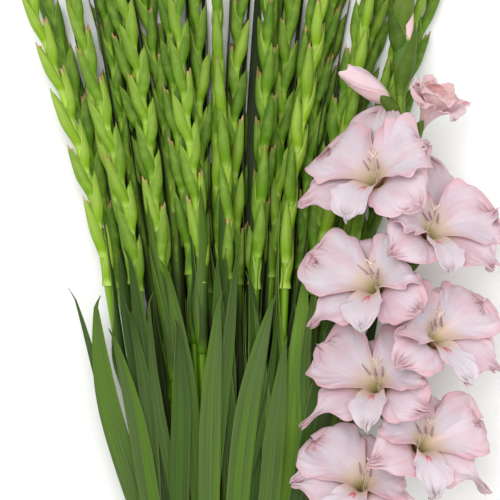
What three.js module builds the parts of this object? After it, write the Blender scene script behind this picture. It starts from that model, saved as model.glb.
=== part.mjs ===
// A bunch of gladioli laid on its side, in millimetres, +Z up. The stems run along +Y and their cut
// ends are at the -Y end. Green stems in tight bud lie in layers and fan out from a rubber band,
// sword leaves lie over them, and one stem in full flower lies along the +X side.
import * as THREE from 'three';

// ---- Driving sizes ----
const STEM_LENGTH = 900;        // longest green stem, from its cut end to its tip
const LENGTH_SPREAD = 40;       // how much shorter the shortest green stem is
const STEM_DIAMETER = 9.6;      // green stem at its cut end
const SPIKE_LENGTH = 385;       // the stretch of a green stem that carries buds
const BUD_REACH = 14;           // from a stem's axis to the outside of its widest buds
const LOW_BUD_REACH = 11;       // the same for the lowest buds, which lie closer to the stem
const BUD_THICKNESS = 13;       // bud, across the plane of its spike
const SPIKE_GAP = 7.5;          // between neighbouring spikes of a layer, at their lowest buds
const TIE_GAP = 2.6;            // between neighbouring stems of a layer, at the band
const FLARE = 13.6;             // extra stem pitch at the tips, where the fan bends outwards
const TIP_THICKNESS = 6;        // bud at the tip, across the plane of its spike
const LAYER_CLEARANCE = 0.8;    // between a layer and the one that lies on it
const CUT_UNEVENNESS = 9;       // how far the cut ends are out of line

const BAND_DISTANCE = 110;      // from the cut ends to the middle of the rubber band
const BAND_WIDTH = 8;
const BAND_THICKNESS = 1.8;
const BAND_CLEARANCE = 0.8;     // between the band and the stems it holds

const LEAF_WIDTH = 27;
const LEAF_LENGTH = 345;
const LEAF_THICKNESS = 1.6;
const LEAF_GAP = 6;             // between neighbouring leaves of a level, where they are widest
const LEAF_START = 172;         // from the cut ends to the foot of the leaves
const LEAF_RISE = 7;            // how far a leaf arches up between its foot and its tip
const LEAF_LEVEL_STEP = 8;      // from one level of leaves to the next
const LEAF_ROLL = 11;           // degrees, the most that a leaf leans on its long axis

const FLOWER_STEM_LENGTH = 915;
const FLOWER_STEM_DIAMETER = 11;
const FLOWER_GAP = 1.8;         // between its stalk and the stems and leaves that it lies beside
const FLOWER_LEAN = 6;          // how far its tip stands out past where it clears the leaves
const FLOWER_BOW = 30;          // how far its stalk bows out from the edge of the leaves
const BOW_LOWNESS = 0.6;        // 1 puts the bow half way up the leaves, and less puts it lower
const FLORET_DIAMETER = 122;
const FLORET_CLEARANCE = 1;     // between the stalk and the tube of a floret
const TOP_BUD_REACH = 15;       // green buds above the florets
const TOP_BUDS_RISE = 128;      // from the node of the highest open floret to the green buds
const FURLED_BUD_RISE = 98;     // from the same node to the furled pink bud
const OPENING_BUD_RISE = 55;    // and to the bud that has begun to open
const PINK_BUD_LENGTH = 58;
const PINK_BUD_DIAMETER = 23;

// ---- Counts and shapes ----
const STEMS_IN_LAYER = [8, 9, 8, 9];                 // from the bottom layer up
const LAYER_SHIFT = [-0.15, 0.1, 0.1, -0.1];         // of a layer to the right, in stem pitches
const LAYER_TURN = [-0.7, 0.5, 0.4, -0.3];           // degrees that each layer is turned about the band
const BUD_COUNT = 16;                                // on a green stem
const TOP_BUD_COUNT = 9;                             // green buds on the stem in flower
const LEAVES_IN_LEVEL = [7, 7];
const LEAF_LEVEL_SHIFT = [-0.15, 0.35];              // of a level to the right, in leaf pitches
const LEAF_LEVEL_TURN = [-2.2, 1.8];                 // degrees, so that the levels cross
const STEM_SIDES = 6;
const LEAF_SIDES = 4;
const LEAF_STEPS = 8;
const TEPALS = 6;

// The florets from the top down: the side of the stalk (-1 left, 1 right) and the degrees that the
// face turns out to that side.
const FLORETS = [
  { side: -1, turn: 22 },
  { side: 1, turn: 24 },
  { side: -1, turn: 24 },
  { side: 1, turn: 26 },
  { side: -1, turn: 20 },
  { side: 1, turn: 16 },
  { side: -1, turn: 20 },
];
const FLORET_TILT = 34;         // degrees that every face leans towards the tip of the stem
const FLORET_STEP = 0.414;      // of its diameter, from one floret to the next down the stalk
const HIGHEST_FLORET = 568;     // from the cut end to the node of the highest open floret

// ---- Colours ----
const MATERIALS = {
  bud: new THREE.MeshStandardMaterial({ color: 0x7da33a, roughness: 0.55, metalness: 0 }),
  leaf: new THREE.MeshStandardMaterial({ color: 0x4f7330, roughness: 0.5, metalness: 0 }),
  petal: new THREE.MeshStandardMaterial({ color: 0xe3ccd6, roughness: 0.6, metalness: 0 }),
  band: new THREE.MeshStandardMaterial({ color: 0xb98d55, roughness: 0.7, metalness: 0 }),
};

// ---- Small helpers ----
const lerp = THREE.MathUtils.lerp;
const tan = (degrees) => Math.tan(THREE.MathUtils.degToRad(degrees));

// A repeatable number from -1 to 1 for each whole number.
function vary(seed) {
  const wave = Math.sin(seed * 12.9898 + 4.1) * 43758.5453;
  return 2 * (wave - Math.floor(wave)) - 1;
}

function piece(name, geometry, material) {
  const mesh = new THREE.Mesh(geometry, material);
  mesh.name = name;
  return mesh;
}

// A closed solid along Y. Each ring has a centre x, y, z, a reach to the left and to the right,
// a half thickness up, and a roll in degrees.
function loft(rings, sides) {
  const steps = rings.length - 1;
  const geometry = new THREE.CylinderGeometry(1, 1, 1, sides, steps, false, Math.PI / 2);
  const at = geometry.attributes.position;
  const crest = sides === LEAF_SIDES ? 1 : Math.sin(Math.PI / 3);
  for (let i = 0; i < at.count; i++) {
    const ring = rings[Math.round((at.getY(i) + 0.5) * steps)];
    const across = at.getX(i) * (at.getX(i) > 0 ? ring.right : ring.left);
    const up = (at.getZ(i) / crest) * ring.up;
    const roll = THREE.MathUtils.degToRad(ring.roll ?? 0);
    const x = ring.x + across * Math.cos(roll) + up * Math.sin(roll);
    const z = ring.z + up * Math.cos(roll) - across * Math.sin(roll);
    at.setXYZ(i, x, ring.y, z);
  }
  geometry.computeVertexNormals();
  return geometry;
}

// ---- How the green stems fan out and pile up ----
const SPIKE_FOOT = STEM_LENGTH - LENGTH_SPREAD - SPIKE_LENGTH;  // lowest buds of the shortest stem
const TIE_PITCH = STEM_DIAMETER + TIE_GAP;
const FOOT_PITCH = 2 * LOW_BUD_REACH + SPIKE_GAP;

// Shares of the way from the band to the lowest buds, and from there to the tip.
const bareShare = (y) => Math.max(0, (y - BAND_DISTANCE) / (SPIKE_FOOT - BAND_DISTANCE));
const spikeShare = (y) => THREE.MathUtils.clamp((y - SPIKE_FOOT) / (STEM_LENGTH - SPIKE_FOOT), 0, 1);

// Distance between the axes of neighbouring stems of a layer at y: even up to the band, then wider.
function stemPitch(y) {
  const straight = lerp(TIE_PITCH, FOOT_PITCH, bareShare(y) ** 0.85);
  return straight + FLARE * spikeShare(y) ** 1.6;
}

// Thickness of a layer at y: round stems at the band, then buds that get thinner to the tips.
function layerThickness(y) {
  const budded = lerp(BUD_THICKNESS, (BUD_THICKNESS + TIP_THICKNESS) / 2, spikeShare(y));
  return lerp(STEM_DIAMETER, budded, THREE.MathUtils.smoothstep(bareShare(y), 0, 1));
}

// Height of the axis of a stem in a layer at y: the bottom layer lies in the band and on its buds.
function stemHeight(y, layer) {
  const held = BAND_THICKNESS + BAND_CLEARANCE;
  const lift = held * (1 - THREE.MathUtils.smoothstep(bareShare(y), 0, 1));
  return lift + layerThickness(y) / 2 + layer * (layerThickness(y) + LAYER_CLEARANCE);
}

function stemPoint(y, layer, place, seed) {
  const wander = 0.4 * SPIKE_GAP * vary(seed) * bareShare(y);
  const turned = tan(LAYER_TURN[layer]) * Math.max(0, y - BAND_DISTANCE);
  return { x: (place + LAYER_SHIFT[layer]) * stemPitch(y) + wander + turned, y, z: stemHeight(y, layer) };
}

// ---- Stems ----
const LEAD_TO_BUDS = 6;         // bare stem just below the lowest bud

// Where the buds of a spike sit, and their reach, from the lowest (share 0) to the tip (share 1).
function budReach(share) {
  const low = lerp(LOW_BUD_REACH, BUD_REACH, THREE.MathUtils.smoothstep(share, 0, 0.35));
  return low * (1 - 0.62 * Math.max(0, share - 0.35) / 0.65);
}

// Rings for a spike from y = foot to y = tip: one ring per bud, wide on the side of its bud.
function spikeRings(pointAt, foot, tip, count, radius, reachAt, firstSide) {
  const rings = [];
  for (let bud = 0; bud < count; bud++) {
    const share = (bud + 0.5) / count;
    const side = bud % 2 ? -firstSide : firstSide;
    const rachis = lerp(radius, 0.4 * radius, share);
    const wide = reachAt(share);
    rings.push({
      ...pointAt(lerp(foot, tip, 1 - (1 - share) ** 1.18)),
      left: side < 0 ? wide : rachis,
      right: side > 0 ? wide : rachis,
      up: lerp(BUD_THICKNESS, TIP_THICKNESS, share) / 2,
    });
  }
  return rings;
}

function roundRing(point, radius) {
  return { ...point, left: radius, right: radius, up: radius * Math.sin(Math.PI / 3) };
}

function greenStem(layer, place, seed) {
  const pointAt = (y) => stemPoint(y, layer, place, seed);
  const cut = CUT_UNEVENNESS * (0.5 + 0.5 * vary(seed + 0.3));
  const tip = STEM_LENGTH - LENGTH_SPREAD * (0.5 + 0.5 * vary(seed + 0.6));
  const foot = tip - SPIKE_LENGTH;
  const radius = STEM_DIAMETER / 2;
  return loft([
    roundRing(pointAt(cut), radius),
    ...[0, 0.16, 0.4, 0.7].map((share) => roundRing(pointAt(lerp(BAND_DISTANCE, foot, share)), radius)),
    roundRing(pointAt(foot - LEAD_TO_BUDS), 0.94 * radius),
    ...spikeRings(pointAt, foot, tip, BUD_COUNT, radius, budReach, vary(seed + 0.9) > 0 ? 1 : -1),
    roundRing(pointAt(tip), 0.3 * radius),
  ], STEM_SIDES);
}

const greenStems = STEMS_IN_LAYER.flatMap((count, layer) => Array.from({ length: count }, (_, i) => ({
  name: `green_stem_${layer + 1}_${i + 1}`,
  layer,
  place: i - (count - 1) / 2,
  seed: 10 * layer + i + 1,
})));

// ---- Leaves ----
const WIDEST_SHARE = 0.42;      // of a leaf's length, from its foot
const WIDEST_Y = LEAF_START + WIDEST_SHARE * LEAF_LENGTH;
const LEAF_LEAN = (LEAF_WIDTH / 2) * tan(LEAF_ROLL);    // how far its lean lifts the edge of a leaf
const TOP_LAYER = STEMS_IN_LAYER.length - 1;
const TOP_OF_PILE = stemHeight(SPIKE_FOOT, TOP_LAYER) + BUD_THICKNESS / 2;

function leafWidth(share) {
  const rise = THREE.MathUtils.smoothstep(share, -0.25, WIDEST_SHARE);
  const fall = share < WIDEST_SHARE ? 1 : 1 - ((share - WIDEST_SHARE) / (1 - WIDEST_SHARE)) ** 2.2;
  return LEAF_WIDTH * Math.max(0.06, rise * fall);
}

// Sideways place of the middle line of a leaf at y, and its height there if the leaf doesn't arch.
function leafMiddle(y, level, place) {
  const fan = (LEAF_WIDTH + LEAF_GAP) * stemPitch(y) / stemPitch(WIDEST_Y);
  return place * fan + tan(LEAF_LEVEL_TURN[level]) * (y - WIDEST_Y);
}

function leafHeight(y, level) {
  const above = BUD_THICKNESS / 2 + LAYER_CLEARANCE + LEAF_LEAN + LEAF_THICKNESS / 2;
  return stemHeight(y, TOP_LAYER) + above + level * LEAF_LEVEL_STEP;
}

function leaf(level, place, seed) {
  const length = LEAF_LENGTH * (1 + 0.09 * vary(seed));
  const foot = LEAF_START + 12 * vary(seed + 0.2);
  const rings = Array.from({ length: LEAF_STEPS + 1 }, (_, i) => {
    const share = i / LEAF_STEPS;
    const y = foot + share * length;
    const half = leafWidth(share) / 2;
    return {
      x: leafMiddle(y, level, place) + 0.4 * LEAF_GAP * vary(seed + 0.7) * share,
      y,
      z: leafHeight(y, level) + LEAF_RISE * Math.sin(Math.PI * share),
      left: half,
      right: half,
      up: LEAF_THICKNESS / 2,
      roll: LEAF_ROLL * vary(seed + 0.4),
    };
  });
  return loft(rings, LEAF_SIDES);
}

const leaves = LEAVES_IN_LEVEL.flatMap((count, level) => Array.from({ length: count }, (_, i) => ({
  name: `leaf_${level + 1}_${i + 1}`,
  level,
  place: i - (count - 1) / 2 + LEAF_LEVEL_SHIFT[level],
  seed: 60 + 10 * level + i,
})));

// ---- The stem in flower ----
// A trumpet with six lobes. Radii and heights are shares of the radius of the open flower.
const TRUMPET = [[0, 0], [0.10, 0], [0.13, 0.34], [0.34, 0.70], [0.97, 0.84], [1.0, 0.90],
  [0.31, 0.77], [0, 0.42]];
const CLEFT = 0.2;              // how much shorter the edge is between two lobes
const WIDEST_LAYER = Math.max(...STEMS_IN_LAYER);
const TUBE_RADIUS = TRUMPET[2][0] * FLORET_DIAMETER / 2;
const LEAF_TIPS = LEAF_START + LEAF_LENGTH;
const TOP_OF_LEAVES = leafHeight(LEAF_TIPS, LEAVES_IN_LEVEL.length - 1) + LEAF_RISE + LEAF_LEAN;

// Sideways place of the stalk beside the outermost stems, and beside the edge of the leaves too.
function besideStems(y) {
  return (WIDEST_LAYER / 2 - 0.5) * stemPitch(y) + (STEM_DIAMETER + FLOWER_STEM_DIAMETER) / 2 + FLOWER_GAP;
}

function besideLeaves(y) {
  const edges = leaves.map(({ level, place }) => leafMiddle(y, level, place));
  const half = leafWidth((y - LEAF_START) / LEAF_LENGTH) / 2;
  return Math.max(Math.max(...edges) + half + FLOWER_STEM_DIAMETER / 2 + FLOWER_GAP, besideStems(y));
}

// Its axis bends out from the side of the bundle, runs in a bow beyond the edge of the leaves with
// its florets over them, and then comes down to lie on the spikes.
const ON_SPIKES = TOP_OF_PILE + LAYER_CLEARANCE + FLOWER_STEM_DIAMETER / 2;
const OVER_LEAVES = TOP_OF_LEAVES + LAYER_CLEARANCE + TUBE_RADIUS;
const alongLeaves = [0.06, 0.34, 0.66, 1].map((share) => {
  const y = LEAF_START + share * LEAF_LENGTH;
  const rise = Math.min(1, 0.35 + 2 * share);
  const bow = FLOWER_BOW * Math.sin(Math.PI * share ** BOW_LOWNESS);
  return new THREE.Vector3(besideLeaves(y) + bow, y, lerp(ON_SPIKES, OVER_LEAVES, rise));
});
const pastLeaves = [0.5, 1].map((share) => new THREE.Vector3(
  besideLeaves(LEAF_TIPS) + share * FLOWER_LEAN,
  lerp(LEAF_TIPS, FLOWER_STEM_LENGTH, share),
  lerp(OVER_LEAVES, ON_SPIKES, THREE.MathUtils.smoothstep(share, -0.2, 1)),
));
const flowerAxis = new THREE.CatmullRomCurve3([
  new THREE.Vector3(besideStems(0), 0, stemHeight(0, 1)),
  new THREE.Vector3(besideStems(BAND_DISTANCE), BAND_DISTANCE, stemHeight(BAND_DISTANCE, 2)),
  ...alongLeaves,
  ...pastLeaves,
]);
const flowerLine = flowerAxis.getPoints(400);

function flowerPoint(y) {
  const after = flowerLine.findIndex((p) => p.y >= y);
  const last = after < 0 ? flowerLine.length - 1 : Math.max(1, after);
  const [low, high] = [flowerLine[last - 1], flowerLine[last]];
  const point = low.clone().lerp(high, (y - low.y) / (high.y - low.y));
  return { x: point.x, y, z: point.z };
}

// The stalk's own directions at y: along it to the tip, across it to the right, and up.
function stalkDirections(y) {
  const along = new THREE.Vector3().subVectors(flowerPoint(y + 12), flowerPoint(y - 12)).normalize();
  const across = new THREE.Vector3().crossVectors(along, new THREE.Vector3(0, 0, 1)).normalize();
  return { along, across, up: new THREE.Vector3().crossVectors(across, along) };
}

function flowerStem() {
  const radius = FLOWER_STEM_DIAMETER / 2;
  const thin = 0.62 * radius;
  const budsFoot = HIGHEST_FLORET + TOP_BUDS_RISE;
  const reachAt = (share) => TOP_BUD_REACH * (1 - 0.6 * share);
  const stalk = Array.from({ length: 11 }, (_, i) => {
    const y = lerp(BAND_DISTANCE + BAND_WIDTH, budsFoot - LEAD_TO_BUDS, i / 10);
    return roundRing(flowerPoint(y), lerp(radius, thin, (i / 10) ** 2));
  });
  return loft([
    roundRing(flowerPoint(0), radius),
    roundRing(flowerPoint(BAND_DISTANCE - BAND_WIDTH), radius),
    ...stalk,
    ...spikeRings(flowerPoint, budsFoot, FLOWER_STEM_LENGTH, TOP_BUD_COUNT, thin, reachAt, 1),
    roundRing(flowerPoint(FLOWER_STEM_LENGTH), 0.4 * thin),
  ], STEM_SIDES);
}

// Turns a solid that is round about Y so that it faces out from the stalk at y, with its +Z side
// towards the tip. Tilt leans the face to the tip of the stalk, and turn leans it out to its side.
function onStalk(geometry, y, { side, tilt, turn, footRadius }) {
  const { along, across, up } = stalkDirections(y);
  const [lean, out] = [tilt, side * turn].map(THREE.MathUtils.degToRad);
  const facing = new THREE.Vector3()
    .addScaledVector(across, Math.sin(out))
    .addScaledVector(along, Math.cos(out) * Math.sin(lean))
    .addScaledVector(up, Math.cos(out) * Math.cos(lean));
  const tipwards = along.clone().addScaledVector(facing, -facing.dot(along)).normalize();
  const sideways = new THREE.Vector3().crossVectors(facing, tipwards);
  const foot = new THREE.Vector3().copy(flowerPoint(y))
    .addScaledVector(across, side * (FLOWER_STEM_DIAMETER / 2 + footRadius + FLORET_CLEARANCE));
  geometry.applyMatrix4(new THREE.Matrix4().makeBasis(sideways, facing, tipwards).setPosition(foot));
  geometry.computeVertexNormals();
  return geometry;
}

function trumpet(radius) {
  const profile = TRUMPET.map(([r, h]) => new THREE.Vector2(r * radius, h * radius));
  const geometry = new THREE.LatheGeometry(profile, 2 * TEPALS);
  const at = geometry.attributes.position;
  for (let i = 0; i < at.count; i++) {
    const share = Math.hypot(at.getX(i), at.getZ(i)) / radius;
    const lobe = Math.cos(TEPALS * Math.atan2(at.getX(i), at.getZ(i)));
    const cut = 1 - CLEFT * share * (0.5 - 0.5 * lobe);
    at.setXYZ(i, at.getX(i) * cut, at.getY(i), at.getZ(i) * cut);
  }
  return geometry;
}

function floret({ side, turn }, i) {
  const radius = FLORET_DIAMETER / 2;
  const y = HIGHEST_FLORET - i * FLORET_STEP * FLORET_DIAMETER;
  return onStalk(trumpet(radius), y, { side, tilt: FLORET_TILT, turn, footRadius: TUBE_RADIUS });
}

// A furled bud: a blunt spindle.
function furledBud() {
  const length = PINK_BUD_LENGTH;
  const radius = PINK_BUD_DIAMETER / 2;
  const profile = [[0, 0], [0.35, 0], [0.85, 0.3], [1, 0.62], [0.8, 0.92], [0, 1]];
  return new THREE.LatheGeometry(profile.map(([r, h]) => new THREE.Vector2(r * radius, h * length)), 8);
}

// A bud that has begun to open: a cup on a short tube, twice as wide as a furled bud.
function openingBud() {
  const length = PINK_BUD_LENGTH;
  const radius = PINK_BUD_DIAMETER;
  const profile = [[0, 0], [0.16, 0], [0.46, 0.4], [1, 0.93], [0.9, 1], [0.3, 0.62], [0, 0.56]];
  return new THREE.LatheGeometry(profile.map(([r, h]) => new THREE.Vector2(r * radius, h * length)), 10);
}

const PINK_BUD_FOOT = 0.3 * PINK_BUD_DIAMETER;
const PINK_BUDS = [
  {
    name: 'opening_bud',
    geometry: openingBud(),
    rise: OPENING_BUD_RISE,
    place: { side: 1, tilt: 50, turn: 45, footRadius: PINK_BUD_FOOT },
  },
  {
    name: 'furled_bud',
    geometry: furledBud(),
    rise: FURLED_BUD_RISE,
    place: { side: -1, tilt: 66, turn: 50, footRadius: PINK_BUD_FOOT },
  },
];

// ---- The rubber band: the outline that is tight round every stem where they pass through it ----
function tightOutline(circles, extra) {
  const points = circles.flatMap(({ x, z, radius }) => Array.from({ length: 16 }, (_, i) => {
    const angle = (i / 16) * 2 * Math.PI;
    const reach = radius + extra;
    return new THREE.Vector2(x + reach * Math.cos(angle), z + reach * Math.sin(angle));
  }));
  points.sort((a, b) => a.x - b.x || a.y - b.y);
  const turn = (o, a, b) => (a.x - o.x) * (b.y - o.y) - (a.y - o.y) * (b.x - o.x);
  const halfHull = (list) => {
    const hull = [];
    for (const point of list) {
      while (hull.length > 1 && turn(hull.at(-2), hull.at(-1), point) <= 1e-6) hull.pop();
      hull.push(point);
    }
    return hull.slice(0, -1);
  };
  return [...halfHull(points), ...halfHull(points.toReversed())];
}

function rubberBand() {
  const edges = [BAND_DISTANCE - BAND_WIDTH / 2, BAND_DISTANCE + BAND_WIDTH / 2];
  const circles = edges.flatMap((y) => [
    ...greenStems.map((s) => ({ ...stemPoint(y, s.layer, s.place, s.seed), radius: STEM_DIAMETER / 2 })),
    { ...flowerPoint(y), radius: FLOWER_STEM_DIAMETER / 2 },
  ]);
  const outline = new THREE.Shape(tightOutline(circles, BAND_CLEARANCE + BAND_THICKNESS));
  outline.holes.push(new THREE.Path(tightOutline(circles, BAND_CLEARANCE)));
  const geometry = new THREE.ExtrudeGeometry(outline, { depth: BAND_WIDTH, bevelEnabled: false });
  return geometry.rotateX(Math.PI / 2).translate(0, edges[1], 0);
}

// ---- The bunch ----
const bunch = new THREE.Group();
for (const { name, layer, place, seed } of greenStems) {
  bunch.add(piece(name, greenStem(layer, place, seed), MATERIALS.bud));
}
for (const { name, level, place, seed } of leaves) {
  bunch.add(piece(name, leaf(level, place, seed), MATERIALS.leaf));
}
bunch.add(piece('flower_stem', flowerStem(), MATERIALS.bud));
FLORETS.forEach((place, i) => bunch.add(piece(`floret_${i + 1}`, floret(place, i), MATERIALS.petal)));
for (const { name, geometry, rise, place } of PINK_BUDS) {
  bunch.add(piece(name, onStalk(geometry, HIGHEST_FLORET + rise, place), MATERIALS.petal));
}
bunch.add(piece('rubber_band', rubberBand(), MATERIALS.band));

// The origin is under the middle of the bunch, on the surface that it lies on.
const box = new THREE.Box3().setFromObject(bunch, true);
bunch.position.set(-(box.min.x + box.max.x) / 2, -(box.min.y + box.max.y) / 2, -box.min.z);

export default bunch;
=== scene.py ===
"""A bunch of gladioli lying on its side: green flower spikes, sword leaves and a stem in flower."""

import math

import bmesh
import bpy
import numpy as np
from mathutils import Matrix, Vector


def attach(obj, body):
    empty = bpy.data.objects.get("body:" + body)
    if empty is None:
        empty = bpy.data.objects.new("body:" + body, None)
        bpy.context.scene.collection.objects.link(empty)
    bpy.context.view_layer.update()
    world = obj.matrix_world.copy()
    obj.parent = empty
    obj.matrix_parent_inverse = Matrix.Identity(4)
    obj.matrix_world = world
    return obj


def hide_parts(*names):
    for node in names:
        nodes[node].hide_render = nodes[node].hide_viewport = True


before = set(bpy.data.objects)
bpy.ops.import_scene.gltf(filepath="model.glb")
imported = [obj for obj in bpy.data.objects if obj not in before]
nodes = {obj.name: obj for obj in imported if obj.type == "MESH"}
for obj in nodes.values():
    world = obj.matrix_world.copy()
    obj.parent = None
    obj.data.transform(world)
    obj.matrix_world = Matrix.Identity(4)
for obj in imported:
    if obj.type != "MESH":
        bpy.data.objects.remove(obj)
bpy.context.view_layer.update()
MM = 0.001

# ---------------------------------------------------------------- small helpers


def smooth(x, low, high):
    """0 below low, 1 above high, with an easy curve between."""
    t = np.clip((np.asarray(x, float) - low) / (high - low), 0, 1)
    return t * t * (3 - 2 * t)


def glide(x, xs, ys):
    """A smooth curve through the points (xs, ys), read at x."""
    x, xs, ys = np.asarray(x, float), np.asarray(xs, float), np.asarray(ys, float)
    slope = np.gradient(ys, xs)
    i = np.clip(np.searchsorted(xs, x, side="right") - 1, 0, len(xs) - 2)
    h = xs[i + 1] - xs[i]
    t = np.clip((x - xs[i]) / h, 0, 1)
    start = (1 + 2 * t) * (1 - t) ** 2 * ys[i] + t * (1 - t) ** 2 * h * slope[i]
    end = t * t * (3 - 2 * t) * ys[i + 1] + t * t * (t - 1) * h * slope[i + 1]
    return start + end


def unit(v):
    """Each vector of v at a length of 1."""
    v = np.asarray(v, float)
    return v / np.maximum(np.linalg.norm(v, axis=-1, keepdims=True), 1e-12)


def turned(v, axis, angle):
    """v turned about a unit axis by angle."""
    v = np.asarray(v, float)
    return (
        v * math.cos(angle)
        + np.cross(axis, v) * math.sin(angle)
        + axis * np.dot(axis, v) * (1 - math.cos(angle))
    )


def corners(name):
    """The different corners of a CAD node."""
    co = np.array([v.co for v in nodes[name].data.vertices], float)
    return np.unique(np.round(co, 6), axis=0)


def rings(name):
    """The node's corners, in rings across the bunch from the foot to the tip."""
    co = corners(name)
    co = co[np.argsort(co[:, 1])]
    cuts = np.nonzero(np.diff(co[:, 1]) > 2e-4)[0] + 1
    return np.split(co, cuts)


class Piece:
    """Closed surfaces that become one mesh. Each point keeps where it is on its organ:
    along from base to tip, across from edge to edge, the organ's own tone, and a mark."""

    def __init__(self):
        self.points, self.faces, self.looks, self.values = [], [], [], []
        self.count = 0

    def add(self, points, faces, look, values):
        """Adds one surface. values are the four values of its points."""
        self.points.append(points.reshape(-1, 3))
        self.faces += [[int(i) + self.count for i in face] for face in faces]
        self.looks += [look] * len(faces)
        self.values.append(np.stack([np.asarray(x, float).ravel() for x in values], 1))
        self.count += len(self.points[-1])

    def sheet(self, grid, thick, look, tone, mark=0.0):
        """A thin closed sheet with the grid as its middle surface."""
        n, m = grid.shape[:2]
        normal = unit(np.cross(np.gradient(grid, axis=0), np.gradient(grid, axis=1)))
        half = np.broadcast_to(np.asarray(thick, float), (n, m))[..., None] / 2 * normal
        top = np.arange(n * m).reshape(n, m)
        low = top + n * m
        faces = []
        for g in (top, low[:, ::-1]):
            faces.append(np.stack([g[:-1, :-1], g[1:, :-1], g[1:, 1:], g[:-1, 1:]], -1))
        faces = [f.reshape(-1, 4) for f in faces]
        for a, b in (
            (top[0], low[0]),
            (top[-1][::-1], low[-1][::-1]),
            (top[:, 0][::-1], low[:, 0][::-1]),
            (top[:, -1], low[:, -1]),
        ):
            faces.append(np.stack([a[:-1], a[1:], b[1:], b[:-1]], -1))
        along = np.broadcast_to(np.linspace(0, 1, n)[:, None], (n, m))
        across = np.broadcast_to(np.linspace(-1, 1, m)[None, :], (n, m))
        mark = np.broadcast_to(mark, (n, m))
        values = [np.concatenate([x, x]) for x in (along, across, np.full((n, m), tone), mark)]
        points = np.concatenate([grid + half, grid - half])
        self.add(points, np.concatenate(faces).tolist(), look, values)

    def rod(self, loops, look, tone, mark=0.0, along=None):
        """A closed rod through loops of points, one loop after another."""
        n, m = loops.shape[:2]
        g = np.arange(n * m).reshape(n, m)
        h = np.roll(g, -1, axis=1)
        faces = np.stack([g[:-1], h[:-1], h[1:], g[1:]], -1).reshape(-1, 4).tolist()
        foot, tip = n * m, n * m + 1
        along = np.linspace(0, 1, n) if along is None else along
        along = np.broadcast_to(along[:, None], (n, m))
        across = np.broadcast_to(np.linspace(-1, 1, m, endpoint=False)[None, :], (n, m))
        mark = np.broadcast_to(mark, (n, m))
        points = np.concatenate([loops.reshape(-1, 3), loops[:1].mean(1), loops[-1:].mean(1)])
        faces += [[h[0, j], g[0, j], foot] for j in range(m)]
        faces += [[g[-1, j], h[-1, j], tip] for j in range(m)]
        ends = [
            np.append(x.ravel(), [x[0, 0], x[-1, 0]])
            for x in (along, across, np.full((n, m), tone), mark)
        ]
        self.add(points, faces, look, ends)

    def finish(self, name, slot, looks, replaced=()):
        """The piece as a Blender object that rides on the bunch."""
        mesh = bpy.data.meshes.new(name)
        mesh.from_pydata(np.concatenate(self.points).tolist(), [], self.faces)
        order = sorted(set(self.looks))
        for look in order:
            mesh.materials.append(looks[look])
        mesh.polygons.foreach_set("material_index", [order.index(x) for x in self.looks])
        mesh.polygons.foreach_set("use_smooth", [True] * len(self.faces))
        values = np.concatenate(self.values).astype(np.float32)
        for i, label in enumerate(("along", "across", "tone", "mark")):
            layer = mesh.attributes.new(label, "FLOAT", "POINT")
            layer.data.foreach_set("value", np.ascontiguousarray(values[:, i]))
        work = bmesh.new()
        work.from_mesh(mesh)
        bmesh.ops.recalc_face_normals(work, faces=work.faces)
        work.to_mesh(mesh)
        work.free()
        mesh.update()
        obj = bpy.data.objects.new(name, mesh)
        bpy.context.scene.collection.objects.link(obj)
        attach(obj, "root")
        if replaced:
            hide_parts(*replaced)
        return obj


# ---------------------------------------------------------------- materials


def linear(rgb):
    """A colour given as 0 to 255 display values, as light."""
    c = np.asarray(rgb, float) / 255
    return tuple(np.where(c <= 0.04045, c / 12.92, ((c + 0.055) / 1.055) ** 2.4)) + (1.0,)


def dimmer(shade):
    """A function that gives a colour darkened by that shade."""
    return lambda *rgb: tuple(x * shade for x in rgb)


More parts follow.
